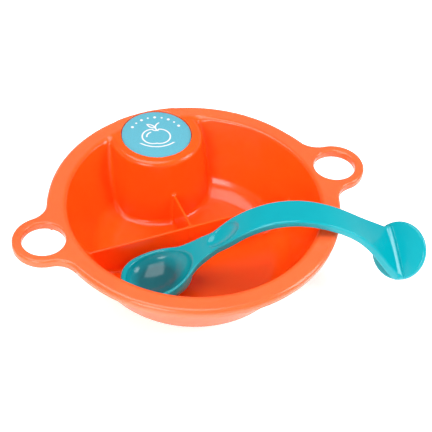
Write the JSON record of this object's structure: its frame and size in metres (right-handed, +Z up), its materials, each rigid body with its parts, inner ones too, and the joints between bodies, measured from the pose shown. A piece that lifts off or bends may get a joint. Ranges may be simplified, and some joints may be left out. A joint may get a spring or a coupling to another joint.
{
  "type": "suction bowl",
  "caption": "Round divided feeding bowl with ring handles, a hollow release column over a suction cup, and an arched spoon with a round end tab.",
  "frame": {"origin": "on the bowl's axis, at the underside of the non-slip pad, which is the table top", "axes": "+Z up along the bowl's axis; X through the two ring handles, with the spoon's handle over the +X side; +Y towards the release column at the back"},
  "size_m": [0.2189, 0.165, 0.0592],
  "materials": {
    "bowl_plastic": "smooth glossy moulded polypropylene, slightly translucent",
    "soft_pad": "soft matte non-slip",
    "button_plastic": "satin",
    "label_print": "matte print with a fine grain and a pale line drawing",
    "white_plastic": "satin",
    "soft_seal": "soft matte",
    "spring_steel": "drawn wire",
    "cup_rubber": "smooth translucent soft rubber",
    "screw_steel": "plated",
    "spoon_plastic": "smooth glossy moulded plastic"
  },
  "bodies": {
    "bowl": {"bowl_shell": "bowl_plastic", "non_slip_pad": "soft_pad", "cup_carrier": "white_plastic", "carrier_screw_1": "screw_steel", "carrier_screw_2": "screw_steel", "carrier_screw_3": "screw_steel", "suction_cup": "cup_rubber", "return_spring": "spring_steel"},
    "button": {"release_button": "button_plastic", "button_label": "label_print", "push_rod": "white_plastic", "valve_plug": "soft_seal"},
    "spoon": {"spoon": "spoon_plastic"}
  },
  "joints": [
    {"name": "button_press", "type": "slide", "parent": "bowl", "child": "button", "axis": [0, 0, -1], "range_m": [0, 0.002], "stiffness_N_per_m": 900, "springref_m": -0.003, "deforming": ["return_spring"]},
    {"name": "spoon_lift", "type": "slide", "parent": "bowl", "child": "spoon", "axis": [0, 0, 1], "range_m": [0, 0.09]}
  ]
}
